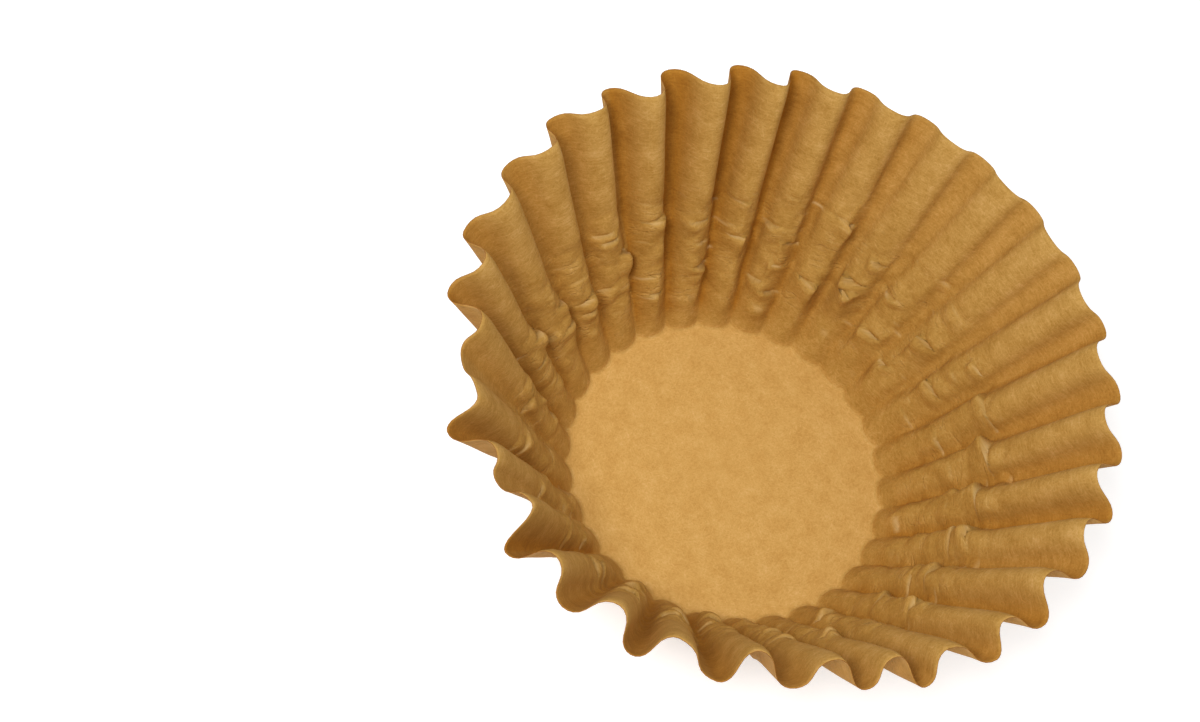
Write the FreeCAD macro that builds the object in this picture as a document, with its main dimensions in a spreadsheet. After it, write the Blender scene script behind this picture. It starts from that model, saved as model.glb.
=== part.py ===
# Paper coffee filter of the flat-bottomed basket kind: one disc of unbleached paper, pressed in a
# fluted die, so that its middle stays flat and its outer ring stands up as a cone of thirty pleats.
# Millimetres, +Z up, with the origin at the middle of the underside of the base.
#
# A pleat has a lobe, where it bulges out, and on each side of it a crest, where it bulges in. Its
# flanks are flat, as paper folded straight is, and both kinds of bend are round along their length.
# The planes of all flanks meet in one point on the axis, below the base.

import FreeCAD, Part
import math
import os
import Sketcher

NODE = "filter_paper"

# Driving sizes. The pleat depth is measured level, from the outer to the inner folds at the rim, as
# if the folds were sharp. The bends are the radii of the middle of the paper.
SIZES = {
    "flat_diameter": 250.0,
    "base_diameter": 90.0,
    "rim_diameter": 176.0,
    "flute_count": 30,
    "rim_pleat_depth": 13.8,
    "lobe_bend": 2.8,
    "crest_bend": 2.8,
    "paper_thickness": 0.15,
}

# The slant is the paper left over round the base, the reach is how far the wall leans out, and the
# rise is the height that the slant then gives.
SLANT = "((Sizes.flat_diameter - Sizes.base_diameter) / 2)"
REACH = "((Sizes.rim_diameter - Sizes.base_diameter) / 2)"
RISE = f"sqrt({SLANT} ^ 2 - {REACH} ^ 2)"
HALF_PITCH = "(180 deg / Sizes.flute_count)"

# Folds as shares of the wall's own radius, and how far each fold leans out from upright
FOLD_SHARE = "(Sizes.rim_pleat_depth / Sizes.rim_diameter)"
CREST_SHARE = f"(1 - {FOLD_SHARE})"
LOBE_SHARE = f"(1 + {FOLD_SHARE})"
CREST_LEAN = f"atan({CREST_SHARE} * {REACH} / {RISE})"
LOBE_LEAN = f"atan({LOBE_SHARE} * {REACH} / {RISE})"

# How far a flank turns away from the wall, seen along a crest's fold and along a lobe's fold
CREST_DROP = f"({LOBE_SHARE} * cos({HALF_PITCH}) - {CREST_SHARE})"
CREST_SLOPE = f"{CREST_DROP} / ({LOBE_SHARE} * sin({HALF_PITCH}))"
FLANK_TURN = f"atan(cos({CREST_LEAN}) * {CREST_SLOPE})"
LOBE_DROP = f"({LOBE_SHARE} - {CREST_SHARE} * cos({HALF_PITCH}))"
LOBE_SLOPE = f"{LOBE_DROP} / ({CREST_SHARE} * sin({HALF_PITCH}))"
LOBE_TURN = f"atan(cos({LOBE_LEAN}) * {LOBE_SLOPE})"

# The notches between the lobes start below the base and run on past the rim, and they are cut
# deeper than the lobes are high. The blanks are wider and higher than the pleats by these shares
# of the pleat depth.
NOTCH_BELOW = "(0.33 * Sizes.rim_pleat_depth)"
NOTCH_LENGTH = f"(1.5 * {SLANT})"
NOTCH_REACH = "(1.7 * Sizes.rim_pleat_depth)"
RIM_CUT_WIDTH = "(2 * Sizes.rim_pleat_depth)"
FOOT_WIDTH = "(Sizes.base_diameter / 2 + Sizes.rim_pleat_depth)"
HOLLOW_HEIGHT = f"({RISE} + 0.75 * Sizes.rim_pleat_depth)"
HOLLOW_WIDTH = "(Sizes.rim_diameter / 2 + 1.3 * Sizes.rim_pleat_depth)"

# The bends can't be larger than the narrow end of a flank has room for, which is at the base. The
# flank is a wedge between its two folds, with its point at the apex, and each bend takes a strip
# along its fold. Together the strips may use all but a twentieth of the wedge at the base.
APEX_DEPTH = f"(Sizes.base_diameter / 2 * {RISE} / {REACH})"
ACROSS_FOLDS = f"sin({CREST_LEAN}) * sin({LOBE_LEAN}) * cos({HALF_PITCH})"
WEDGE_ANGLE = f"acos({ACROSS_FOLDS} + cos({CREST_LEAN}) * cos({LOBE_LEAN}))"
LOBE_STRIP = f"Sizes.lobe_bend * tan({LOBE_TURN}) * cos({CREST_LEAN})"
CREST_STRIP = f"Sizes.crest_bend * tan({FLANK_TURN}) * cos({LOBE_LEAN})"
BEND_ROOM = f"0.95 * {APEX_DEPTH} * sin({WEDGE_ANGLE})"
BEND_FIT = f"min(1; {BEND_ROOM} / ({LOBE_STRIP} + {CREST_STRIP}))"

# A lobe's fold is found by its bearing, to within this share of a pitch
BEARING_MATCH = 0.01

# The numbers by which a sketch knows its axes, and the points of an edge
SKETCH_X_AXIS, SKETCH_Y_AXIS = range(-1, -3, -1)
START, END, CENTRE = range(1, 4)
ORIGIN_POINT = (SKETCH_X_AXIS, START)

document = FreeCAD.newDocument("paper_coffee_filter")
sheet = document.addObject("Spreadsheet::Sheet", "Sizes")
for row, (alias, value) in enumerate(SIZES.items(), start=1):
    sheet.set(f"A{row}", alias)
    sheet.set(f"B{row}", str(value))
    sheet.setAlias(f"B{row}", alias)
document.recompute()


def number(formula):
    """The value of a formula of the sheet, as a plain number."""
    value = sheet.evalExpression(formula)
    return float(getattr(value, "Value", value))


def new_body(name):
    """A body, and its origin planes and axes by their roles."""
    body = document.addObject("PartDesign::Body", name)
    return body, {feature.Role: feature for feature in body.Origin.OriginFeatures}


def new_sketch(body, name, plane):
    sketch = body.newObject("Sketcher::SketchObject", name)
    sketch.AttachmentSupport = [(plane, "")]
    sketch.MapMode = "FlatFace"
    return sketch


def tie(sketch, *constraint):
    return sketch.addConstraint(Sketcher.Constraint(*constraint))


def bind(sketch, name, constraint, formula):
    """Adds a constraint whose size follows a formula of the sheet. Angles go in as radians."""
    size = number(formula)
    if constraint[0] == "Angle":
        size = math.radians(size)
    index = tie(sketch, *constraint, size)
    sketch.renameConstraint(index, name)
    sketch.setExpression(f"Constraints.{name}", formula)


def draw_outline(sketch, corners):
    """A closed outline of straight edges through the corners, in their order."""
    edges = []
    for place, corner in enumerate(corners):
        following = corners[(place + 1) % len(corners)]
        segment = Part.LineSegment(FreeCAD.Vector(*corner, 0), FreeCAD.Vector(*following, 0))
        edges.append(sketch.addGeometry(segment, False))
    for place, edge in enumerate(edges):
        tie(sketch, "Coincident", edge, END, edges[(place + 1) % len(edges)], START)
    return edges


def turn_into_blank(body, profile):
    """The round solid that the notches are cut from."""
    blank = body.newObject("PartDesign::Revolution", f"{body.Name}Blank")
    blank.Profile = profile
    blank.ReferenceAxis = (profile, ["V_Axis"])
    blank.Angle = 360
    document.recompute()
    return blank


def cup_profile(body, plane):
    """Half of the cup's blank: flat below, wider than the pleats, and trimmed at the rim.

    Every pleat is one slant long, so the rim is trimmed square to the slant. A crest then ends
    higher than a lobe, which gives the standing rim its waves.
    """
    profile = new_sketch(body, "CupProfile", plane)
    foot = (number("Sizes.base_diameter / 2"), 0)
    rim = (number("Sizes.rim_diameter / 2"), number(RISE))
    half_cut = number(RIM_CUT_WIDTH) / 2
    along = half_cut * number(REACH) / number(SLANT)
    across = half_cut * number(RISE) / number(SLANT)
    low_end = (rim[0] + across, rim[1] - along)
    high_end = (rim[0] - across, rim[1] + along)
    corners = [(0, 0), (number(FOOT_WIDTH), 0), low_end, high_end, (0, high_end[1])]
    bottom, _, cut, top, middle = draw_outline(profile, corners)
    tie(profile, "Coincident", bottom, START, *ORIGIN_POINT)
    tie(profile, "Horizontal", bottom)
    tie(profile, "Horizontal", top)
    tie(profile, "Vertical", middle)
    bind(profile, "blank_foot", ("Distance", bottom), FOOT_WIDTH)
    segment = Part.LineSegment(FreeCAD.Vector(*foot, 0), FreeCAD.Vector(*rim, 0))
    slant = profile.addGeometry(segment, True)
    tie(profile, "PointOnObject", slant, START, SKETCH_X_AXIS)
    bind(profile, "foot", ("DistanceX", *ORIGIN_POINT, slant, START), "Sizes.base_diameter / 2")
    bind(profile, "reach", ("DistanceX", slant, START, slant, END), REACH)
    bind(profile, "slant", ("Distance", slant), SLANT)
    tie(profile, "Perpendicular", slant, cut)
    tie(profile, "Symmetric", cut, START, cut, END, slant, END)
    bind(profile, "cut_width", ("Distance", cut), RIM_CUT_WIDTH)
    return profile


def hollow_profile(body, plane):
    """Half of the hollow's blank: one paper thickness up from the base, and open past the rim."""
    profile = new_sketch(body, "HollowProfile", plane)
    floor_height = "Sizes.paper_thickness"
    corners = [
        (0, number(floor_height)),
        (number(FOOT_WIDTH), number(floor_height)),
        (number(HOLLOW_WIDTH), number(HOLLOW_HEIGHT)),
        (0, number(HOLLOW_HEIGHT)),
    ]
    bottom, _, top, _ = draw_outline(profile, corners)
    tie(profile, "Horizontal", bottom)
    tie(profile, "Horizontal", top)
    tie(profile, "PointOnObject", bottom, START, SKETCH_Y_AXIS)
    tie(profile, "PointOnObject", top, END, SKETCH_Y_AXIS)
    bind(profile, "floor_height", ("DistanceY", *ORIGIN_POINT, bottom, START), floor_height)
    bind(profile, "floor_width", ("Distance", bottom), FOOT_WIDTH)
    bind(profile, "top_height", ("DistanceY", *ORIGIN_POINT, top, START), HOLLOW_HEIGHT)
    bind(profile, "top_width", ("Distance", top), HOLLOW_WIDTH)
    return profile


def notch_profile(body, plane, bend, raised):
    """The gap between two lobes, seen along the crest's fold: two flanks with a round tip.

    The sketch stands square to the fold, with its origin on it. Its X axis points out of the cup.
    """
    profile = new_sketch(body, f"{body.Name}Notch", plane)
    start_out = f"{CREST_SHARE} * Sizes.base_diameter / 2 - {NOTCH_BELOW} * sin({CREST_LEAN})"
    start_up = f"{raised} - {NOTCH_BELOW} * cos({CREST_LEAN})"
    lean = FreeCAD.Rotation(FreeCAD.Vector(0, 1, 0), number(CREST_LEAN))
    place = FreeCAD.Vector(number(start_out), 0, number(start_up))
    profile.AttachmentOffset = FreeCAD.Placement(place, lean)
    profile.setExpression("AttachmentOffset.Base.x", start_out)
    profile.setExpression("AttachmentOffset.Base.z", start_up)
    profile.setExpression("AttachmentOffset.Rotation.Angle", CREST_LEAN)

    turn = math.radians(number(FLANK_TURN))
    radius = number(bend)
    centre = radius / math.cos(turn)
    reach = number(NOTCH_REACH)
    half_mouth = reach / math.tan(turn)
    circle = Part.Circle(FreeCAD.Vector(centre, 0, 0), FreeCAD.Vector(0, 0, 1), radius)
    tip = profile.addGeometry(Part.ArcOfCircle(circle, math.pi - turn, math.pi + turn), False)
    upper_end = profile.getPoint(tip, START)
    lower_end = profile.getPoint(tip, END)
    upper_far = FreeCAD.Vector(reach, half_mouth, 0)
    lower_far = FreeCAD.Vector(reach, -half_mouth, 0)
    upper = profile.addGeometry(Part.LineSegment(upper_end, upper_far), False)
    mouth = profile.addGeometry(Part.LineSegment(upper_far, lower_far), False)
    lower = profile.addGeometry(Part.LineSegment(lower_far, lower_end), False)
    tie(profile, "Tangent", tip, START, upper, START)
    tie(profile, "Tangent", tip, END, lower, END)
    tie(profile, "Coincident", upper, END, mouth, START)
    tie(profile, "Coincident", mouth, END, lower, START)
    tie(profile, "Symmetric", mouth, START, mouth, END, SKETCH_X_AXIS)
    tie(profile, "PointOnObject", tip, CENTRE, SKETCH_X_AXIS)
    bind(profile, "bend", ("Radius", tip), bend)
    bind(profile, "tip", ("DistanceX", *ORIGIN_POINT, tip, CENTRE), f"{bend} / cos({FLANK_TURN})")
    bind(profile, "reach", ("DistanceX", *ORIGIN_POINT, mouth, START), NOTCH_REACH)
    bind(profile, "flank", ("Angle", upper, END, mouth, START), FLANK_TURN)
    return profile


def lobe_folds(shape):
    """The names of the sharp edges between two notches: they climb, half a pitch off a notch."""
    pitch = 2 * number(HALF_PITCH)
    climb = number(RISE) / 2
    names = []
    for index, edge in enumerate(shape.Edges, start=1):
        ends = sorted((vertex.Point for vertex in edge.Vertexes), key=lambda end: end.z)
        low, high = ends[0], ends[-1]
        bearing = math.degrees(math.atan2(high.y, high.x)) % pitch
        if high.z - low.z > climb and abs(bearing - pitch / 2) < BEARING_MATCH * pitch:
            names.append(f"Edge{index}")
    return names


def pleated_form(name, make_profile, crest_bend, lobe_bend, raised):
    """A pleated solid: a round blank, one notch, the notch round the blank, and rounded lobes."""
    body, origin = new_body(name)
    turn_into_blank(body, make_profile(body, origin["XZ_Plane"]))
    notch = body.newObject("PartDesign::Pocket", f"{name}Crest")
    notch.Profile = notch_profile(body, origin["XY_Plane"], crest_bend, raised)
    notch.Reversed = True
    notch.setExpression("Length", NOTCH_LENGTH)
    document.recompute()
    pleats = body.newObject("PartDesign::PolarPattern", f"{name}Crests")
    pleats.Originals = [notch]
    pleats.Axis = (origin["Z_Axis"], [""])
    pleats.Angle = 360
    pleats.setExpression("Occurrences", "Sizes.flute_count")
    body.Tip = pleats
    document.recompute()
    lobes = body.newObject("PartDesign::Fillet", f"{name}Lobes")
    lobes.Base = (pleats, lobe_folds(pleats.Shape))
    lobes.setExpression("Radius", lobe_bend)
    body.Tip = lobes
    document.recompute()
    return body


# The outside of the paper, and the inside one thickness in from it. Each bend keeps its middle
# radius, so it is tighter on one side of the paper and wider on the other.
half_paper = "Sizes.paper_thickness / 2"
outside = pleated_form(
    "Outside",
    cup_profile,
    f"(Sizes.crest_bend * {BEND_FIT} - {half_paper})",
    f"(Sizes.lobe_bend * {BEND_FIT} + {half_paper})",
    "0",
)
inside = pleated_form(
    "Inside",
    hollow_profile,
    f"(Sizes.crest_bend * {BEND_FIT} + {half_paper})",
    f"(Sizes.lobe_bend * {BEND_FIT} - {half_paper})",
    f"Sizes.paper_thickness / (cos({FLANK_TURN}) * sin({CREST_LEAN}))",
)
paper = document.addObject("Part::Cut", "FilterPaper")
paper.Label = NODE
paper.Base = outside
paper.Tool = inside
document.recompute()

for item in document.Objects:
    if "Invalid" in item.State or "Error" in item.State:
        raise RuntimeError(f"{item.Name} failed: {item.State}")
shape = paper.Shape
if shape.isNull() or not shape.isValid():
    raise RuntimeError(f"{NODE} has no valid shape")
if len(shape.Solids) != 1:
    raise RuntimeError(f"{NODE} should be one sheet, and it is {len(shape.Solids)} solids")

os.makedirs("parts", exist_ok=True)
shape.exportStep(f"parts/{NODE}.step")
box = shape.BoundBox
paper_area = shape.Volume / number("Sizes.paper_thickness")
disc_area = number("pi * Sizes.flat_diameter ^ 2 / 4")
print(f"{NODE}: within {box.XLength:.1f} x {box.YLength:.1f} x {box.ZLength:.1f} mm")
print(f"{len(shape.Faces)} faces, flanks turned {number(FLANK_TURN):.1f} degrees off the wall")
print(f"paper {paper_area:.0f} mm2, where the flat disc has {disc_area:.0f} mm2")
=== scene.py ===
# %% [markdown]
# # A basket coffee filter
#
# The real object is one disc of thin brown paper, 250 mm across. A hot fluted die presses it into a
# cup: the middle stays flat and becomes the base, and the ring round it stands up in thirty pleats.
# Nothing is glued or sewn, so the whole filter is a single piece, and everything that the eye enjoys
# is in how that one sheet bends, crumples and takes the light.

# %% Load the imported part
import math
import random

import bmesh
import bpy
import numpy as np
from mathutils import Matrix, Vector, noise


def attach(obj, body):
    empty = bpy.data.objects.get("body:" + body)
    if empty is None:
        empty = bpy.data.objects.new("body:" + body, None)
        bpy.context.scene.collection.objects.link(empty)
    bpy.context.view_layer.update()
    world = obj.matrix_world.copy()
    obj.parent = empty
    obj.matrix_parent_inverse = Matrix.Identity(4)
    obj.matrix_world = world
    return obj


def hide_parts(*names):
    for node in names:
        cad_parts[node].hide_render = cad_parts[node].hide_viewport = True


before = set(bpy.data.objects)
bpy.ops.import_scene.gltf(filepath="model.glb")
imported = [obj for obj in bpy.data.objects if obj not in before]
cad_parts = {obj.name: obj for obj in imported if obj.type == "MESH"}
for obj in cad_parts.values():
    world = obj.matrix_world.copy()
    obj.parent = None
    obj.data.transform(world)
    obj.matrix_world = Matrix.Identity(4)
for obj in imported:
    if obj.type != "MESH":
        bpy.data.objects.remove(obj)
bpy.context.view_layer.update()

# %% [markdown]
# ## Sizes of the sheet
#
# The sizes come first, because the shape of folded paper follows from them. The disc is 250 mm
# across and the base 90 mm, so every line from the base to the rim is 80 mm long. The wall leans
# out: its rim is 176 mm across in the middle of the pleats. The edge of the flat ring is longer than
# the rim that it stands on, and the pleats take up exactly that spare length.

# %% Sizes in millimetres
MM = 0.001
FULL_TURN = 2 * math.pi
BASE_RADIUS = 45.0
DISC_RADIUS = 125.0
RIM_RADIUS = 88.0
PAPER_THICKNESS = 0.15
PLEATS = 30

slant = DISC_RADIUS - BASE_RADIUS
reach = (RIM_RADIUS - BASE_RADIUS) / slant
climb = math.sqrt(1 - reach**2)
print(f"slant {slant:.0f} mm, wall {math.degrees(math.acos(reach)):.1f} degrees steep")

# %% [markdown]
# ## One pleat in section
#
# Seen along its folds, half a pleat is a round bend at the crest, a straight flank and another round
# bend at the lobe. A sine wave would be quicker to write, but pressed paper has broad round crests
# and tighter lobes. Near the base there is hardly any spare paper, so the lobes are narrow grooves
# between broad cushions. At the rim both bends are open, and the edge runs in an S. The turn of the
# flank is the only unknown. It is found by halving a range until the paper that the section uses is
# the paper that the flat disc has at that height.

# %% Half a pleat, from a crest inside the cup to a lobe outside it
CREST_BEND_LOW, CREST_BEND_RIM = 5.8, 4.7
LOBE_BEND_LOW, LOBE_BEND_RIM = 0.9, 4.3
HALVINGS = 40
LEAST_DEPTH = 0.001


def flank_of(paper, pitch, bends):
    """Turn in radians and length in mm of the straight flank in half a pleat."""
    low_turn, high_turn = 0.0, paper / bends
    for _ in range(HALVINGS):
        turn = (low_turn + high_turn) / 2
        flank = paper - bends * turn
        if bends * math.sin(turn) + flank * math.cos(turn) > pitch:
            low_turn = turn
        else:
            high_turn = turn
    return turn, flank


def pleat_section(shares, height):
    """Across and out, from 0 to 1, at shares of the half pleat's paper, and its depth in mm."""
    paper = math.pi * (BASE_RADIUS + height) / PLEATS
    pitch = math.pi * (BASE_RADIUS + reach * height) / PLEATS
    rise = height / slant
    crest_bend = CREST_BEND_LOW + rise * (CREST_BEND_RIM - CREST_BEND_LOW)
    lobe_bend = LOBE_BEND_LOW + rise * (LOBE_BEND_RIM - LOBE_BEND_LOW)
    turn, flank = flank_of(paper, pitch, crest_bend + lobe_bend)
    along = np.array(shares) * paper
    crest_angle = np.minimum(along / crest_bend, turn)
    lobe_angle = np.minimum((paper - along) / lobe_bend, turn)
    straight = np.clip(along - crest_bend * turn, 0, flank)
    across = crest_bend * np.sin(crest_angle) + straight * math.cos(turn)
    across += lobe_bend * (math.sin(turn) - np.sin(lobe_angle))
    out = crest_bend * (1 - np.cos(crest_angle)) + straight * math.sin(turn)
    out += lobe_bend * (np.cos(lobe_angle) - math.cos(turn))
    depth = (crest_bend + lobe_bend) * (1 - math.cos(turn)) + flank * math.sin(turn)
    return across / pitch, out / max(depth, LEAST_DEPTH), depth


rim_depth = pleat_section([0.0], slant)[2]
for height in (5, 20, 40, slant):
    print(f"{height:.0f} mm up, a pleat is {pleat_section([0.0], height)[2]:.1f} mm deep")

# %% [markdown]
# ## Where each fold stands at the rim
#
# In a die every pleat is the same, but a thin sheet relaxes when it comes out, and a few pleats of
# this one open while their neighbours close. Each row below is one pleat: how far its crest has
# turned round the rim, in degrees, and how deep it stands off the middle of the wall, in
# millimetres, and then the same two numbers for the lobe that follows it. They were read off the
# rim, and a few were then eased until the outline agreed. Random numbers would give the same
# amount of disorder, but not this filter's.

# %% Table of the rim: crest turn, crest depth, lobe turn, lobe depth
RIM_FOLDS = [
    (1.0, -3.6, -0.1, 5.6),
    (-0.8, -5.6, -0.9, 4.6),
    (-0.6, -5.0, -1.5, 4.2),
    (-0.4, -4.8, -0.9, 4.2),
    (-0.8, -2.8, -1.0, 3.5),
    (-0.8, -2.0, -0.4, 3.4),
    (-0.6, -2.0, 0.4, 3.1),
    (-0.4, -2.5, 0.8, 3.4),
    (-0.6, -4.0, 0.8, 4.0),
    (-1.0, -5.4, 0.4, 5.0),
    (-1.7, -7.6, -1.1, 4.9),
    (-1.8, -7.8, -0.9, 6.0),
    (-0.5, -6.8, -0.6, 5.8),
    (-2.4, -2.6, -0.8, 6.6),
    (-2.0, -3.6, 0.0, 5.0),
    (-0.1, -3.2, 2.2, 5.6),
    (1.2, -4.3, 2.0, 5.3),
    (1.2, -6.2, 1.6, 1.0),
    (3.6, -3.2, 1.7, 8.0),
    (1.7, -3.4, 0.6, 1.2),
    (1.1, -5.0, -1.2, 8.8),
    (-1.5, -1.5, -1.3, 7.5),
    (-0.4, -2.8, -0.8, 7.1),
    (-1.3, -3.5, 1.0, 4.2),
    (0.4, -7.2, 0.5, 1.7),
    (2.4, -7.4, 1.1, 1.8),
    (1.2, -6.7, -0.5, 4.1),
    (-0.9, -4.9, 1.2, 5.0),
    (-0.9, -4.3, 0.2, 5.5),
    (-0.8, -5.6, 0.4, 5.2),
]
print(len(RIM_FOLDS), "pleats in the table")

# %% [markdown]
# ## Where the paper is creased
#
# In the lower half of the wall the die gathers more paper than the flutes can hold, so short sharp
# creases buckle across them. The paper swells into a knuckle on both sides of each one, and the
# flute below it often stands a little beside the flute above. Each row is one crease: its place
# round the wall counted in pleats, then in millimetres its height up the slant, half its width
# across, half its height and its depth, and last its curl, which is how strongly its ends bend up.
# The creases that show best are placed one by one. The rest of the wall has the same kind at
# random, because a filter is crumpled all the way round.

# %% Table of small creases: pleat, height, half width, half height, depth, curl
SMALL_CREASES = [
    (12.04, 38.7, 5.0, 2.2, 1.1, 0.04),
    (10.96, 35.6, 4.5, 1.6, 0.8, 0.03),
    (10.57, 39.6, 2.4, 2.6, 1.3, 0.10),
    (10.18, 42.1, 3.6, 1.6, 0.8, 0.06),
    (10.13, 30.7, 4.2, 1.8, 0.9, 0.03),
    (10.74, 20.5, 5.0, 2.2, 1.0, 0.04),
    (10.53, 25.2, 2.4, 2.6, 1.4, 0.08),
    (12.68, 30.7, 2.8, 3.2, 1.6, 0.08),
    (13.07, 37.9, 4.0, 1.6, 0.7, 0.03),
    (12.25, 20.2, 4.5, 1.6, 0.8, 0.03),
    (11.97, 14.3, 4.0, 1.4, 0.7, 0.04),
    (9.25, 34.9, 4.5, 1.8, 0.9, 0.04),
    (8.67, 30.5, 4.2, 3.0, 1.6, 0.07),
    (8.76, 23.5, 3.6, 2.4, 1.2, 0.10),
    (8.05, 21.9, 3.2, 2.2, 1.2, 0.12),
    (9.18, 17.1, 4.6, 1.8, 0.9, 0.03),
    (8.68, 14.3, 3.6, 1.8, 0.9, 0.05),
    (7.95, 43.9, 3.2, 1.6, 0.8, 0.06),
    (7.75, 43.0, 2.6, 2.4, 1.2, 0.08),
    (7.06, 25.5, 4.0, 2.6, 1.4, 0.12),
    (14.70, 32.5, 3.4, 2.6, 1.4, 0.08),
    (14.13, 25.7, 4.2, 2.4, 1.2, 0.08),
    (7.69, 48.7, 2.6, 2.8, 1.3, 0.08),
    (6.84, 37.1, 3.4, 1.8, 1.0, 0.14),
    (7.00, 28.7, 4.2, 2.6, 1.4, 0.10),
    (6.27, 31.9, 3.6, 2.0, 1.0, 0.08),
    (5.94, 19.4, 3.8, 2.2, 1.3, 0.06),
    (5.25, 16.1, 4.0, 2.2, 1.2, 0.08),
    (4.90, 31.1, 3.2, 2.6, 1.5, 0.10),
    (5.62, 46.0, 3.6, 1.8, 0.8, 0.06),
    (3.93, 25.5, 3.8, 2.2, 1.1, 0.08),
    (3.81, 41.3, 3.4, 1.8, 0.8, 0.05),
    (5.53, 53.1, 3.6, 1.6, 0.6, 0.05),
    (2.67, 40.6, 3.4, 2.4, 1.2, 0.08),
    (2.07, 39.7, 5.0, 1.6, 0.8, 0.03),
    (1.49, 44.5, 3.2, 2.4, 1.3, 0.10),
    (1.41, 29.2, 3.4, 2.2, 1.0, 0.08),
    (0.04, 38.4, 3.6, 2.2, 1.1, 0.12),
    (29.50, 43.3, 3.2, 2.2, 1.1, 0.10),
    (27.93, 40.1, 3.6, 2.2, 1.1, 0.12),
    (15.85, 38.1, 3.4, 2.4, 1.3, 0.08),
    (16.40, 38.6, 4.0, 1.8, 0.8, 0.04),
    (14.80, 24.9, 3.6, 2.2, 1.1, 0.08),
    (16.69, 27.3, 3.6, 2.4, 1.2, 0.08),
    (17.36, 35.5, 3.4, 2.2, 1.1, 0.08),
    (18.41, 44.6, 4.0, 2.0, 1.0, 0.06),
    (13.18, 40.1, 4.6, 1.4, 0.6, 0.03),
]
print(len(SMALL_CREASES), "small creases in the table")

# %% [markdown]
# The large creases below have one number more, the jog. It says how many millimetres the flute under
# the crease stands beside the flute above it. On the left the flutes lean over one after another,
# which the eye reads as one long fold, so those jogs are written out. The small creases draw theirs
# at random, as a share of their depth, and they were made deeper than the table says until their
# shading agreed with the real ones.

# %% Large creases, and the placed ones in one list
LARGE_CREASES = [
    (2.95, 40.6, 7.5, 2.6, 0.7, 0.0, 1.8),
    (2.00, 39.7, 7.5, 2.6, 0.8, 0.0, 2.4),
    (1.00, 38.0, 7.5, 2.6, 0.8, 0.0, 2.4),
    (29.95, 33.0, 7.5, 2.6, 0.5, 0.0, 1.4),
    (28.95, 34.0, 7.5, 2.6, 0.6, 0.0, 1.6),
    (28.00, 25.0, 6.5, 2.4, 0.6, 0.0, 1.4),
]
LEANING_TO, LEANING_FROM = 6, 26
JOG_LEAST, JOG_MOST = 0.8, 1.8
DEEP_TO = 8.5
DEEPENED, DEEPENED_MOST = 1.35, 1.85
dice = random.Random(8)
CREASES = list(LARGE_CREASES)
for pleat, height, half_width, half_height, depth, curl in SMALL_CREASES:
    leaning = pleat < LEANING_TO or pleat > LEANING_FROM
    jog_way = 1 if leaning else dice.choice((-1, 1))
    jog = jog_way * dice.uniform(JOG_LEAST, JOG_MOST) * depth
    deepened = depth * (DEEPENED_MOST if pleat < DEEP_TO else DEEPENED)
    CREASES.append((pleat, height, half_width, half_height, deepened, curl, jog))
print(len(CREASES), "placed creases")

# %% The other creases, each number drawn from its range, in the order of the table
# Pleats that already have placed creases get fewer middling ones.
PLACED_FROM, PLACED_TO = 1, 18
MIDDLING = ((-0.45, 0.45), (9, 46), (2.6, 4.6), (1.4, 2.6), (0.5, 1.2), (0.0, 0.06), (-0.8, 1.2))
FINE = ((-0.4, 0.4), (6, 47), (1.5, 3.6), (0.8, 1.6), (0.12, 0.35), (-0.05, 0.08))
MIDDLING_BESIDE_PLACED, MIDDLING_ELSEWHERE = 1, 3
FINE_EVERYWHERE = 6


def chance_crease(pleat, ranges):
    """A crease near one pleat, with every number of it drawn from its range."""
    off_pleat, *others = [dice.uniform(least, most) for least, most in ranges]
    return (pleat + off_pleat, *others)


for pleat in range(PLEATS):
    placed = PLACED_FROM < pleat <= PLACED_TO
    for _ in range(MIDDLING_BESIDE_PLACED if placed else MIDDLING_ELSEWHERE):
        CREASES.append(chance_crease(pleat, MIDDLING))
    for _ in range(FINE_EVERYWHERE):
        CREASES.append((*chance_crease(pleat, FINE), 0.0))
print(len(CREASES), "creases")

# %% [markdown]
# ## The folded sheet
#
# The sheet is modelled as the flat disc that it was: rings of points round the middle, each point
# with its place on the disc. Then every point is moved to where the folds carry it. A cloth
# simulation could give crumples too, but here the folds stay where they were read off. The rings
# are closest together where the creases are. Only one face of the paper is made. A Solidify
# modifier then gives it its real thickness and a cut edge.

# %% Rings and columns of the disc
half_shares = [0.0, 0.12, 0.24, 0.36, 0.48, 0.60, 0.71, 0.81, 0.90]
base_rings = [20.0, 38.0, 43.5]
wall_heights = [0.0, 0.6, 1.4, 2.4, 3.6, 5.0, 6.4, 7.8, 9.2, 10.6, 12.0, 13.4]
CREASED_UP_TO = 48
RING_STEP = 0.56
while wall_heights[-1] < CREASED_UP_TO:
    wall_heights.append(wall_heights[-1] + RING_STEP)
wall_heights += [52.0, 57.0, 62.0, 67.0, 71.0, 74.5, 76.8, 78.6, slant]
heights = np.array(wall_heights)
lobe_side = [share / 2 for share in half_shares]
crest_side = [1 - share / 2 for share in [1.0, *half_shares[:0:-1]]]
places = np.array([pleat + place for pleat in range(PLEATS) for place in lobe_side + crest_side])
columns = len(places)
print(f"{columns} columns, {len(heights)} rings up the wall")

# %% Creases as a push into the cup and a shift sideways
# The swelling, the groove and the step of a crease are shares of its depth. The knuckle's height and
# the groove's width are shares of the crease's own. The reaches are where each fades out, in mm.
KNUCKLE, GROOVE, STEP = 0.95, 1.1, 0.6
KNUCKLE_HEIGHT = 1.8
GROOVE_WIDTH = 0.75
GROOVE_REACH, STEP_REACH = 0.6, 6.0
JOG_REACH_DOWN, JOG_REACH_UP = 14.0, 9.0
JOG_BACK = 0.3
WORN_AND_HIGHLIT_DEPTH = 0.8


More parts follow.
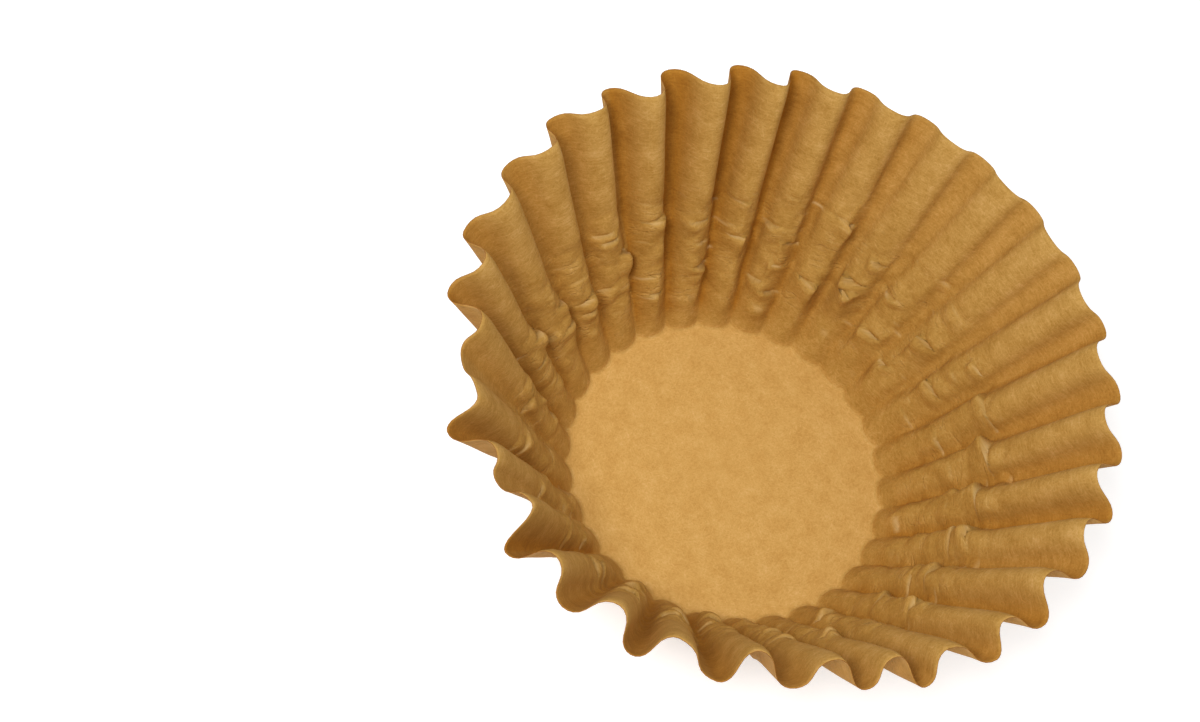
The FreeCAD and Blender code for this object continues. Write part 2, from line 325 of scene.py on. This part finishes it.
def crease_fields():
    """Push into the cup and shift round it, in mm, and wear from 0 to 1, of every point. The wear paints
    a crease pale, partly for its broken nap and partly as a painted highlight.
    """
    push = np.zeros((len(heights), columns))
    shift = np.zeros_like(push)
    worn_and_highlit = np.zeros_like(push)
    grid_places, grid_heights = np.meshgrid(places, heights)
    for pleat, height, half_width, half_height, depth, curl, jog in CREASES:
        away = (grid_places - pleat + PLEATS / 2) % PLEATS - PLEATS / 2
        across = away * FULL_TURN / PLEATS * (BASE_RADIUS + grid_heights)
        above = grid_heights - height - curl * across**2
        near = np.exp(-((across / half_width) ** 4))
        narrow = (across / (GROOVE_WIDTH * half_width)) ** 4
        groove = np.exp(-narrow - np.abs(above) / GROOVE_REACH)
        knuckle = near * np.exp(-((above / (KNUCKLE_HEIGHT * half_height)) ** 2))
        step = near * np.where(above < 0, 1, -1) * np.exp(-np.abs(above) / STEP_REACH)
        push += depth * (KNUCKLE * knuckle - GROOVE * groove + STEP * step)
        # Wear marks where a crease is painted pale, partly for its broken nap and partly as a painted
        # highlight.
        worn_and_highlit = np.maximum(worn_and_highlit, np.clip(2 * groove - 1, 0, 1) * min(depth / WORN_AND_HIGHLIT_DEPTH, 1))
        below = np.exp(np.minimum(above, 0) / JOG_REACH_DOWN)
        over = -JOG_BACK * np.exp(-np.maximum(above, 0) / JOG_REACH_UP)
        shift += jog * near * np.where(above < 0, below, over)
    return push, shift, worn_and_highlit


push_in, shift_round, worn_and_highlit_line = crease_fields()
print(f"creases push the paper by {push_in.min():.1f} to {push_in.max():.1f} mm")
print(f"and shift it by {shift_round.min():.1f} to {shift_round.max():.1f} mm")

# %% Where each column is in its pleat
BASE_WAVE, BASE_WAVE_WIDTH = 0.65, 0.16
folds = np.array(RIM_FOLDS)
pleat_number = np.floor(places).astype(int)
past_lobe = places % 1 >= 0.5
crest_number = pleat_number + past_lobe
share_out = 1 - np.abs(1 - 2 * (places % 1))
from_lobe = np.abs(places % 1 - 0.5)
foot_wave = BASE_WAVE * (2 * np.exp(-((from_lobe / BASE_WAVE_WIDTH) ** 2)) - 1)
pleat_depths = folds[:, 3] - folds[:, 1]
print(f"pleats at the rim are {pleat_depths.min():.1f} to {pleat_depths.max():.1f} mm deep")

# %% Where the folds carry each ring of the wall
# Creases fade in over the foot of the wall. The top of the wall is the lip, where the crests curl
# outward. A valley between two flutes takes only a part of a crease's push.
FOOT = 6.0
BASE_WAVE_REACH = 5.0
VALLEY_PUSH = 0.35
LIP_CURL, LIP_FROM, LIP_REACH = 1.2, 0.93, 0.07
LOWEST = 0.05


def ring_at(row):
    """Turn in radians, radius and height in mm, and share out, of every point of one ring."""
    height = heights[row]
    rise = height / slant
    across, out, depth = pleat_section(share_out, height)
    crest_turn = 360 / PLEATS * crest_number + rise * folds[crest_number % PLEATS, 0]
    lobe_turn = 360 / PLEATS * (pleat_number + 0.5) + rise * folds[pleat_number, 2]
    crest_depth = -depth / 2 + rise * (folds[crest_number % PLEATS, 1] + rim_depth / 2)
    lobe_depth = depth / 2 + rise * (folds[pleat_number, 3] - rim_depth / 2)
    off_wall = crest_depth + out * (lobe_depth - crest_depth)
    foot = min(height / FOOT, 1)
    off_wall -= push_in[row] * foot * (VALLEY_PUSH + (1 - VALLEY_PUSH) * (1 - out))
    off_wall += LIP_CURL * (max(rise - LIP_FROM, 0) / LIP_REACH) ** 2 * (1 - out)
    turn = np.radians(crest_turn + across * (lobe_turn - crest_turn))
    radius = BASE_RADIUS + reach * height + climb * off_wall
    radius += foot_wave * max(1 - height / BASE_WAVE_REACH, 0)
    turn += shift_round[row] * foot * (1 - out) / radius
    level = np.maximum(climb * height - reach * off_wall, LOWEST * height)
    return turn, radius, level, out


rim_radius = ring_at(len(heights) - 1)[1]
print(f"rim is {rim_radius.min():.1f} to {rim_radius.max():.1f} mm from the middle")

# %% Soft crumples
# The broad ones are all over the wall. The facets are sharper, and only the lower wall has them.
CRUMPLE_SIZE, CRUMPLE_DEPTH = 14.0, 0.5
FACET_SIZE, FACET_DEPTH, FACET_LEVEL = 6.5, 1.5, 0.4
FACET_PLACE = Vector((2, 9, 4))
CRUMPLED_FROM, FADED_IN_OVER = 3, 12
CRUMPLED_TO, FADED_OUT_OVER = 58, 16
CRUMPLED_ALL_OVER, CRUMPLED_LOW = 0.4, 0.8


def crumpled(point, height):
    """Soft crumples in mm, low on the wall, where the paper has nowhere to go."""
    faded_in = min(max((height - CRUMPLED_FROM) / FADED_IN_OVER, 0), 1)
    faded_out = min(max((CRUMPLED_TO - height) / FADED_OUT_OVER, 0), 1)
    broad = noise.noise(point / CRUMPLE_SIZE) * CRUMPLE_DEPTH
    facets = abs(noise.noise(point / FACET_SIZE + FACET_PLACE)) * FACET_DEPTH - FACET_LEVEL
    low_down = faded_in * faded_out * (CRUMPLED_LOW * broad + facets)
    return CRUMPLED_ALL_OVER * broad * min(height / FOOT, 1) + low_down


print(f"crumples fade in {CRUMPLED_FROM} mm up the wall and end {CRUMPLED_TO} mm up it")

# %% Points of the flat base
BASE_WAVE_POWER = 8
sheet = bmesh.new()
disc_place = sheet.verts.layers.float_vector.new("disc_place")
valley = sheet.verts.layers.float.new("valley")
worn_and_highlit = sheet.verts.layers.float.new("worn_and_highlit")
flat_turns = FULL_TURN * places / PLEATS
rings = []
for ring_radius in base_rings:
    ring = []
    for flat_turn, wave in zip(flat_turns, foot_wave):
        direction = Vector((math.cos(flat_turn), math.sin(flat_turn), 0))
        waved = ring_radius + wave * (ring_radius / BASE_RADIUS) ** BASE_WAVE_POWER
        vertex = sheet.verts.new(direction * waved * MM)
        vertex[disc_place] = direction * ring_radius * MM
        ring.append(vertex)
    rings.append(ring)
print(len(sheet.verts), "points on the base")

# %% Points of the wall, with how deep in a valley each one is, for the painted shade of the valleys, and how worn, for the pale nap and painted highlight of the creases
FULL_VALLEY = 12
VALLEY_FOOT = 8
relative_depth = (folds[pleat_number, 3] - folds[crest_number % PLEATS, 1]) / FULL_VALLEY
for row, height in enumerate(wall_heights):
    ring = []
    points = zip(flat_turns, *ring_at(row), relative_depth, worn_and_highlit_line[row])
    for flat_turn, turn, radius, level, out, deep, wear_and_highlight in points:
        inward = Vector((-climb * math.cos(turn), -climb * math.sin(turn), reach))
        point = Vector((radius * math.cos(turn), radius * math.sin(turn), level))
        point += inward * crumpled(point, height)
        vertex = sheet.verts.new(point * MM)
        direction = Vector((math.cos(flat_turn), math.sin(flat_turn), 0))
        vertex[disc_place] = direction * (BASE_RADIUS + height) * MM
        # How deep in a valley a point is sets how much painted shade it gets.
        vertex[valley] = out * deep * min(height / VALLEY_FOOT, 1)
        # Wear paints a crease pale in the material, partly for its broken nap and partly as a painted
        # highlight.
        vertex[worn_and_highlit] = wear_and_highlight * min(height / FOOT, 1)
        ring.append(vertex)
    rings.append(ring)
print(len(sheet.verts), "points on the base and the wall")

# %% Faces of the sheet
centre = sheet.verts.new(Vector((0, 0, 0)))
for column in range(columns):
    following = (column + 1) % columns
    sheet.faces.new((centre, rings[0][column], rings[0][following]))
    for inner, outer in zip(rings, rings[1:]):
        sheet.faces.new((inner[column], outer[column], outer[following], inner[following]))
for face in sheet.faces:
    face.smooth = True
paper_area = sum(face.calc_area() for face in sheet.faces)
disc_area = math.pi * (DISC_RADIUS * MM) ** 2
mesh = bpy.data.meshes.new("filter_sheet")
sheet.to_mesh(mesh)
sheet.free()
paper = bpy.data.objects.new("filter_sheet", mesh)
bpy.context.collection.objects.link(paper)
print(f"sheet {paper_area * 1e4:.0f} cm2, disc {disc_area * 1e4:.0f} cm2, {len(mesh.polygons)} faces")

# %% Real thickness
thickness = paper.modifiers.new("paper_thickness", "SOLIDIFY")
thickness.thickness = PAPER_THICKNESS * MM
thickness.offset = 1
thickness.use_even_offset = False
thickness.material_offset_rim = 1
print(f"paper {PAPER_THICKNESS} mm thick, with its own material on the cut edge")

# %% [markdown]
# ## Unbleached filter paper
#
# Filter paper is long wood fibres, laid wet on a wire and dried with no bleach and no glaze. It keeps
# the brown of kraft pulp, and looks soft and quite matt. Close up it is cloudy, because the fibres lie
# in clumps, with a felt of fine hairs in all directions and a faint crepe round the wall, where the
# die drew it in. A picture of real paper would be quicker, but it would repeat and would have to be
# wrapped round the cup. Noise needs no wrapping, and its coordinates here are the places on the flat
# disc, so the pattern bends with the sheet. One mix of the noises gives both the colour and the bump.
# More colours follow the folds, and most of them are painted light and shade. The flat base is painted
# lighter as a painted sheen, a valley between two flutes is painted browner as painted shade, the
# crumpled lower wall is painted a little darker as painted shade, and along a crease the paper is painted
# pale, partly for its broken nap and partly as a painted highlight.

# %% Helpers for materials
def linear(hex_colour):
    """A colour written as sRGB hex, as the linear values that the shader takes."""
    values = [int(hex_colour[place:place + 2], 16) / 255 for place in (1, 3, 5)]
    return [v / 12.92 if v <= 0.04045 else ((v + 0.055) / 1.055) ** 2.4 for v in values] + [1]


def add_node(material, kind, settings, inputs):
    """A node with its settings. Each input is a value, or the output of another node."""
    node = material.node_tree.nodes.new(kind)
    for name, value in settings.items():
        setattr(node, name, value)
    for name, value in inputs.items():
        if isinstance(value, bpy.types.NodeSocket):
            material.node_tree.links.new(value, node.inputs[name])
        else:
            node.inputs[name].default_value = value
    return node


def new_material(name):
    """A material and its main shader."""
    material = bpy.data.materials.new(name)
    material.use_nodes = True
    return material, material.node_tree.nodes["Principled BSDF"]


def cycles_per_metre(size_mm):
    """Scale of a noise whose grains are this many millimetres apart."""
    return 1000 / size_mm


print("middle brown of the paper, linear:", [round(value, 3) for value in linear("#C1944A")])

# %% The felt of fibres
# A real fibre is 0.03 mm wide, a tenth of a pixel here, so the felt is drawn seven times as coarse.
FIBRE_WIDTH = 0.20
FIBRE_STRETCH = 4.5
FIBRE_TURNS = (0.2, 0.9, 1.7, 2.5)


def felt_of_fibres(material, place):
    """Hair-thin fibres in several directions, from 0 to 1."""
    felt = 0.0
    for fibre_turn in FIBRE_TURNS:
        turned = add_node(
            material, "ShaderNodeMapping", {"vector_type": "TEXTURE"},
            {"Vector": place, "Rotation": (0, 0, fibre_turn), "Scale": (FIBRE_STRETCH, 1, 1)},
        ).outputs["Vector"]
        fibres = add_node(material, "ShaderNodeTexNoise", {}, {
            "Vector": turned,
            "Scale": cycles_per_metre(FIBRE_WIDTH * 2),
            "Detail": 2.0,
            "Distortion": 0.25,
        }).outputs["Fac"]
        felt = add_node(
            material, "ShaderNodeMath", {"operation": "MAXIMUM"}, {0: felt, 1: fibres},
        ).outputs["Value"]
    return felt


print(f"{len(FIBRE_TURNS)} layers of fibres, drawn {FIBRE_WIDTH} mm wide")

# %% [markdown]
# Crepe and crease lines both run round the wall, across the flutes. The direction of a place from the
# middle of the disc says how far round it is, and its distance says how far up. Noise on those two
# comes out drawn round the wall, and has no seam. Real crepe is about 0.3 mm from ridge to ridge, and
# is drawn at 0.5 mm, so that it shows.

# %% Noise drawn out round the wall
CREPE_LENGTH, CREPE_GAP = 1.8, 0.5
CREASE_LENGTH, CREASE_GAP = 7.0, 2.2
MID_WALL = BASE_RADIUS + 35


def noise_round_wall(material, place, from_middle, length, gap):
    """Noise with grains of length mm across the flutes and gap mm up them, from 0 to 1."""
    direction = add_node(
        material, "ShaderNodeVectorMath", {"operation": "NORMALIZE"}, {0: place},
    ).outputs["Vector"]
    up_wall = add_node(
        material, "ShaderNodeMath", {"operation": "MULTIPLY"}, {0: from_middle, 1: cycles_per_metre(gap)},
    ).outputs["Value"]
    upward = add_node(material, "ShaderNodeCombineXYZ", {}, {"Z": up_wall}).outputs["Vector"]
    round_wall = add_node(
        material, "ShaderNodeVectorMath", {"operation": "MULTIPLY_ADD"},
        {0: direction, 1: [MID_WALL / length] * 3, 2: upward},
    ).outputs["Vector"]
    return add_node(
        material, "ShaderNodeTexNoise", {},
        {"Vector": round_wall, "Scale": 1.0, "Roughness": 0.45, "Distortion": 0.3},
    ).outputs["Fac"]


print(f"crepe every {CREPE_GAP} mm, crease lines every {CREASE_GAP} mm")

# %% Crease lines, in patches of the creased part of the wall
CLOUD_SIZE = 6.0
NOISE_MIDDLE = 0.5
LINE_EDGE, LINE_MIDDLE = 0.05, 0.0
PATCH_EDGE, PATCH_MIDDLE = 0.52, 0.64
LINED_FROM, LINED_FULLY_FROM = BASE_RADIUS + 5, BASE_RADIUS + 14
LINED_TO, LINED_FULLY_TO = BASE_RADIUS + 52, BASE_RADIUS + 38


def crease_lines(material, place, from_middle):
    """Short fine lines across the flutes, in the creased part of the wall, from 0 to 1."""
    contours = noise_round_wall(material, place, from_middle, CREASE_LENGTH, CREASE_GAP)
    off_line = add_node(
        material, "ShaderNodeMath", {"operation": "SUBTRACT"}, {0: contours, 1: NOISE_MIDDLE},
    ).outputs["Value"]
    off_line = add_node(
        material, "ShaderNodeMath", {"operation": "ABSOLUTE"}, {0: off_line},
    ).outputs["Value"]
    patches = add_node(
        material, "ShaderNodeTexNoise", {},
        {"Vector": place, "Scale": cycles_per_metre(CLOUD_SIZE), "Detail": 1.0},
    ).outputs["Fac"]
    lines = 1.0
    for value, none_at, full_at in (
        (off_line, LINE_EDGE, LINE_MIDDLE),
        (patches, PATCH_EDGE, PATCH_MIDDLE),
        (from_middle, LINED_FROM * MM, LINED_FULLY_FROM * MM),
        (from_middle, LINED_TO * MM, LINED_FULLY_TO * MM),
    ):
        share = add_node(
            material, "ShaderNodeMapRange", {},
            {"Value": value, "From Min": none_at, "From Max": full_at},
        ).outputs["Result"]
        lines = add_node(
            material, "ShaderNodeMath", {"operation": "MULTIPLY"}, {0: lines, 1: share},
        ).outputs["Value"]
    return lines


print(f"crease lines in patches {CLOUD_SIZE:.0f} mm across")

# %% Felt and crepe in one pattern, and clouds of three browns
FELT_SHARE, CREPE_SHARE = 0.68, 0.32
BROWN_PLACES = (0.42, 0.56, 0.70)


def felt_with_crepe(material, place, from_middle):
    """The felt of fibres and the crepe in one pattern, from 0 to 1."""
    return add_node(material, "ShaderNodeMix", {"data_type": "FLOAT"}, {
        "Factor": CREPE_SHARE,
        "A": felt_of_fibres(material, place),
        "B": noise_round_wall(material, place, from_middle, CREPE_LENGTH, CREPE_GAP),
    }).outputs["Result"]


def cloudy_brown(material, place, felt_and_crepe, browns):
    """A dark, a middle and a light brown, cloudy where the fibres lie in clumps."""
    clouds = add_node(material, "ShaderNodeTexNoise", {}, {
        "Vector": place,
        "Scale": cycles_per_metre(CLOUD_SIZE),
        "Detail": 4.0,
        "Roughness": 0.6,
    }).outputs["Fac"]
    shade = add_node(
        material, "ShaderNodeMix", {"data_type": "FLOAT"},
        {"Factor": FELT_SHARE, "A": clouds, "B": felt_and_crepe},
    ).outputs["Result"]
    ramp = add_node(material, "ShaderNodeValToRGB", {}, {"Fac": shade})
    ramp.color_ramp.elements.new(BROWN_PLACES[1])
    for element, position, brown in zip(ramp.color_ramp.elements, BROWN_PLACES, browns):
        element.position = position
        element.color = linear(brown)
    return ramp.outputs["Color"]


print(f"felt and crepe make {FELT_SHARE:.0%} of the shade, clouds the rest")

# %% Where the paper has painted sheen, painted shade and a pale nap on creases
BASE_FROM, BASE_FULLY_FROM = BASE_RADIUS + 2, BASE_RADIUS - 1
LOW_FROM, LOW_FULLY_FROM = BASE_RADIUS + 58, BASE_RADIUS + 36
VALLEY_SHADE_POWER = 1.4
NAP_AND_HIGHLIGHT_SHARE = 0.45


def shares_of_shades(material, from_middle):
    """How much painted sheen on the base, painted shade in a valley and low on the wall, and pale nap and
    painted highlight on a crease a place has, from 0 to 1.
    """
    # The flat base faces the lamps, so it is painted lighter and paler: a painted sheen.
    on_base = add_node(
        material, "ShaderNodeMapRange", {},
        {"Value": from_middle, "From Min": BASE_FROM * MM, "From Max": BASE_FULLY_FROM * MM},
    ).outputs["Result"]
    # Painted shade in the valleys, stronger where a valley is deeper.
    valley_depth = add_node(
        material, "ShaderNodeAttribute", {"attribute_name": "valley"}, {},
    ).outputs["Fac"]
    valley_shade_share = add_node(
        material, "ShaderNodeMath", {"operation": "POWER"}, {0: valley_depth, 1: VALLEY_SHADE_POWER},
    ).outputs["Value"]
    # Painted shade low on the wall, for the shade among fine crumples that the mesh leaves out.
    low_down = add_node(
        material, "ShaderNodeMapRange", {},
        {"Value": from_middle, "From Min": LOW_FROM * MM, "From Max": LOW_FULLY_FROM * MM},
    ).outputs["Result"]
    low_wall_shade_share = add_node(
        material, "ShaderNodeMath", {"operation": "SUBTRACT", "use_clamp": True},
        {0: low_down, 1: on_base},
    ).outputs["Value"]
    # A pale nap along creases, partly broken fibres and partly a painted highlight.
    wear_and_highlight = add_node(material, "ShaderNodeAttribute", {"attribute_name": "worn_and_highlit"}, {}).outputs["Fac"]
    crease_nap_and_highlight_share = add_node(
        material, "ShaderNodeMath", {"operation": "MULTIPLY"}, {0: wear_and_highlight, 1: NAP_AND_HIGHLIGHT_SHARE},
    ).outputs["Value"]
    return on_base, valley_shade_share, low_wall_shade_share, crease_nap_and_highlight_share


# The darker lower wall is painted shade.
print(f"the lower wall is duller up to {LOW_FROM - BASE_RADIUS:.0f} mm")

# %% [markdown]
# The surface starts from what cellulose is. It bends light by about 1.47, and an open felt of it
# scatters nearly all the light, so the roughness is high and the gloss is weaker than a usual one.
# Two bumps lie on each other: the crease lines, and over them the felt and crepe. The base was
# pressed flat, so its grain is much lower.

# %% Paper
FIBRE_HEIGHT, FIBRE_STRENGTH = 0.15, 0.8
CREASE_HEIGHT, CREASE_STRENGTH = 0.16, 0.9
WALL_GRAIN, BASE_GRAIN = 1.0, 0.25
PAPER_ROUGHNESS, PAPER_IOR, PAPER_GLOSS = 0.82, 1.47, 0.35


def paper_material(name, browns, painted_base_sheen, painted_valley_shade, painted_low_wall_shade, crease_nap_and_highlight):
    """Matt kraft paper in three browns, with a painted sheen on the base, painted shade in valleys and
    low on the wall, and a pale nap on creases that is partly a painted highlight.
    """
    material, surface = new_material(name)
    place = add_node(
        material, "ShaderNodeAttribute", {"attribute_name": "disc_place"}, {},
    ).outputs["Vector"]
    from_middle = add_node(
        material, "ShaderNodeVectorMath", {"operation": "LENGTH"}, {0: place},
    ).outputs["Value"]
    felt_and_crepe = felt_with_crepe(material, place, from_middle)
    colour = cloudy_brown(material, place, felt_and_crepe, browns)
    on_base, valley_shade_share, low_wall_shade_share, crease_nap_and_highlight_share = shares_of_shades(material, from_middle)
    # The base gets a painted sheen, valleys and the lower wall get painted shade, and creases get a pale
    # nap that is partly a painted highlight.
    for share, blend, shade in (
        (on_base, "SCREEN", painted_base_sheen),
        (valley_shade_share, "MULTIPLY", painted_valley_shade),
        (low_wall_shade_share, "MULTIPLY", painted_low_wall_shade),
        (crease_nap_and_highlight_share, "MIX", crease_nap_and_highlight),
    ):
        colour = add_node(
            material, "ShaderNodeMix", {"data_type": "RGBA", "blend_type": blend},
            {"Factor": share, "A": colour, "B": linear(shade)},
        ).outputs["Result"]
    material.node_tree.links.new(colour, surface.inputs["Base Color"])
    grain_height = add_node(
        material, "ShaderNodeMapRange", {},
        {"Value": on_base, "To Min": WALL_GRAIN, "To Max": BASE_GRAIN},
    ).outputs["Result"]
    grain = add_node(
        material, "ShaderNodeMath", {"operation": "MULTIPLY"}, {0: felt_and_crepe, 1: grain_height},
    ).outputs["Value"]
    creased = add_node(material, "ShaderNodeBump", {"invert": True}, {
        "Height": crease_lines(material, place, from_middle),
        "Strength": CREASE_STRENGTH,
        "Distance": CREASE_HEIGHT * MM,
    }).outputs["Normal"]
    relief = add_node(material, "ShaderNodeBump", {}, {
        "Height": grain,
        "Normal": creased,
        "Strength": FIBRE_STRENGTH,
        "Distance": FIBRE_HEIGHT * MM,
    }).outputs["Normal"]
    material.node_tree.links.new(relief, surface.inputs["Normal"])
    surface.inputs["Roughness"].default_value = PAPER_ROUGHNESS
    surface.inputs["IOR"].default_value = PAPER_IOR
    surface.inputs["Specular IOR Level"].default_value = PAPER_GLOSS
    return material


# The lighter base colour is a painted sheen, the valley and lower-wall colours are painted shade, and the
# crease colour is partly a painted highlight.
kraft_paper = paper_material(
    "unbleached_kraft_paper",
    browns=("#AA7C32", "#C1944A", "#D5A966"),
    painted_base_sheen="#865B32",
    painted_valley_shade="#E8CE80",
    painted_low_wall_shade="#F2EFE0",
    crease_nap_and_highlight="#E6C890",
)
print("the paper has", len(kraft_paper.node_tree.nodes), "nodes")

# %% [markdown]
# A cut edge shows the fibres end on, so it is darker and more orange than the face. It is the same
# paper with other browns. Black adds no painted sheen to its base, and white adds no painted shade to its
# valleys and its lower wall. Where a crease meets the edge, it turns to its own lightest brown, partly
# for the broken nap and partly as a painted highlight.

# %% Cut edge
cut_edge = paper_material(
    "cut_kraft_edge",
    browns=("#7A4716", "#9A5F22", "#B87A34"),
    painted_base_sheen="#000000",
    painted_valley_shade="#FFFFFF",
    painted_low_wall_shade="#FFFFFF",
    crease_nap_and_highlight="#B87A34",
)
paper.data.materials.append(kraft_paper)
paper.data.materials.append(cut_edge)
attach(paper, "root")
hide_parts("filter_paper")
print("materials:", [material.name for material in paper.data.materials])

# %% [markdown]
# ## Table, light and camera
#
# The filter stands on a plain table of matt white laminate, a pressed sheet with hardly any gloss. A
# soft lamp high on the near side, a little left of the eye, gives each flute a lit flank and a
# shaded one, and a weaker one from the far right opens the shade on the left. The rest is an even
# white world. A lamp alone would leave the folds black. The table shows white to the eye, and still
# takes the filter's shadow.

# %% Table
WHITE = (1, 1, 1, 1)
TABLE_HALF = 3.0
TABLE_LIFT = 0.45
UNDER_FILTER = 0.3
table_mesh = bpy.data.meshes.new("white_table")
corners = [(x * TABLE_HALF, y * TABLE_HALF, 0) for x, y in ((-1, -1), (1, -1), (1, 1), (-1, 1))]
table_mesh.from_pydata(corners, [], [(0, 1, 2, 3)])
table = bpy.data.objects.new("white_table", table_mesh)
table.location.z = -UNDER_FILTER * MM
bpy.context.collection.objects.link(table)
white_table, table_surface = new_material("matt_white_laminate")
table_surface.inputs["Base Color"].default_value = linear("#F4F4F4")
table_surface.inputs["Roughness"].default_value = 0.9
table_surface.inputs["Specular IOR Level"].default_value = 0.1
ray = add_node(white_table, "ShaderNodeLightPath", {}, {})
seen = add_node(
    white_table, "ShaderNodeMath", {"operation": "MAXIMUM"},
    {0: ray.outputs["Is Camera Ray"], 1: ray.outputs["Is Glossy Ray"]},
).outputs["Value"]
lift = add_node(
    white_table, "ShaderNodeMath", {"operation": "MULTIPLY"}, {0: seen, 1: TABLE_LIFT},
).outputs["Value"]
table_surface.inputs["Emission Color"].default_value = WHITE
white_table.node_tree.links.new(lift, table_surface.inputs["Emission Strength"])
table.data.materials.append(white_table)
print(f"table {2 * TABLE_HALF:.0f} m wide, {UNDER_FILTER} mm under the filter")

# %% World and lamps
WORLD_STRENGTH = 0.46
LIT_PLACE = (0, 0, 0.035)
world = bpy.data.worlds.new("plain_studio")
bpy.context.scene.world = world
world.use_nodes = True
world.node_tree.nodes["Background"].inputs["Color"].default_value = WHITE
world.node_tree.nodes["Background"].inputs["Strength"].default_value = WORLD_STRENGTH


def soft_lamp(name, towards, distance, size, power):
    """A square area lamp that looks at the middle of the filter."""
    lamp = bpy.data.lights.new(name, "AREA")
    lamp.size = size
    lamp.energy = power
    holder = bpy.data.objects.new(name, lamp)
    direction = Vector(towards).normalized()
    holder.location = Vector(LIT_PLACE) + direction * distance
    holder.rotation_euler = direction.to_track_quat("Z", "Y").to_euler()
    bpy.context.collection.objects.link(holder)
    print(f"{name}: {size} m wide, {distance} m away, {power} W")


soft_lamp("window_lamp", towards=(-0.30, -0.62, 1.10), distance=1.4, size=0.40, power=12.5)
soft_lamp("ceiling_lamp", towards=(1.0, 0.5, 1.1), distance=1.6, size=1.0, power=4.4)

# %% Camera
CAMERA_PLACE = (-0.0341, -0.4294, 0.7690)
CAMERA_RIGHT = (0.86642, 0.43874, 0.23837)
CAMERA_UP = (-0.49915, 0.74904, 0.43564)
CAMERA_LENS = 94.86
SENSOR_WIDTH = 36
camera_data = bpy.data.cameras.new("camera")
camera_data.lens = CAMERA_LENS
camera_data.sensor_width = SENSOR_WIDTH
camera = bpy.data.objects.new("camera", camera_data)
right, up = Vector(CAMERA_RIGHT), Vector(CAMERA_UP)
turn_matrix = Matrix((right, up, right.cross(up))).transposed()
camera.matrix_world = Matrix.Translation(CAMERA_PLACE) @ turn_matrix.to_4x4()
bpy.context.collection.objects.link(camera)
bpy.context.scene.camera = camera
bpy.context.scene.view_settings.view_transform = "Standard"
print(f"camera {Vector(CAMERA_PLACE).length:.2f} m from the base, lens {CAMERA_LENS} mm")
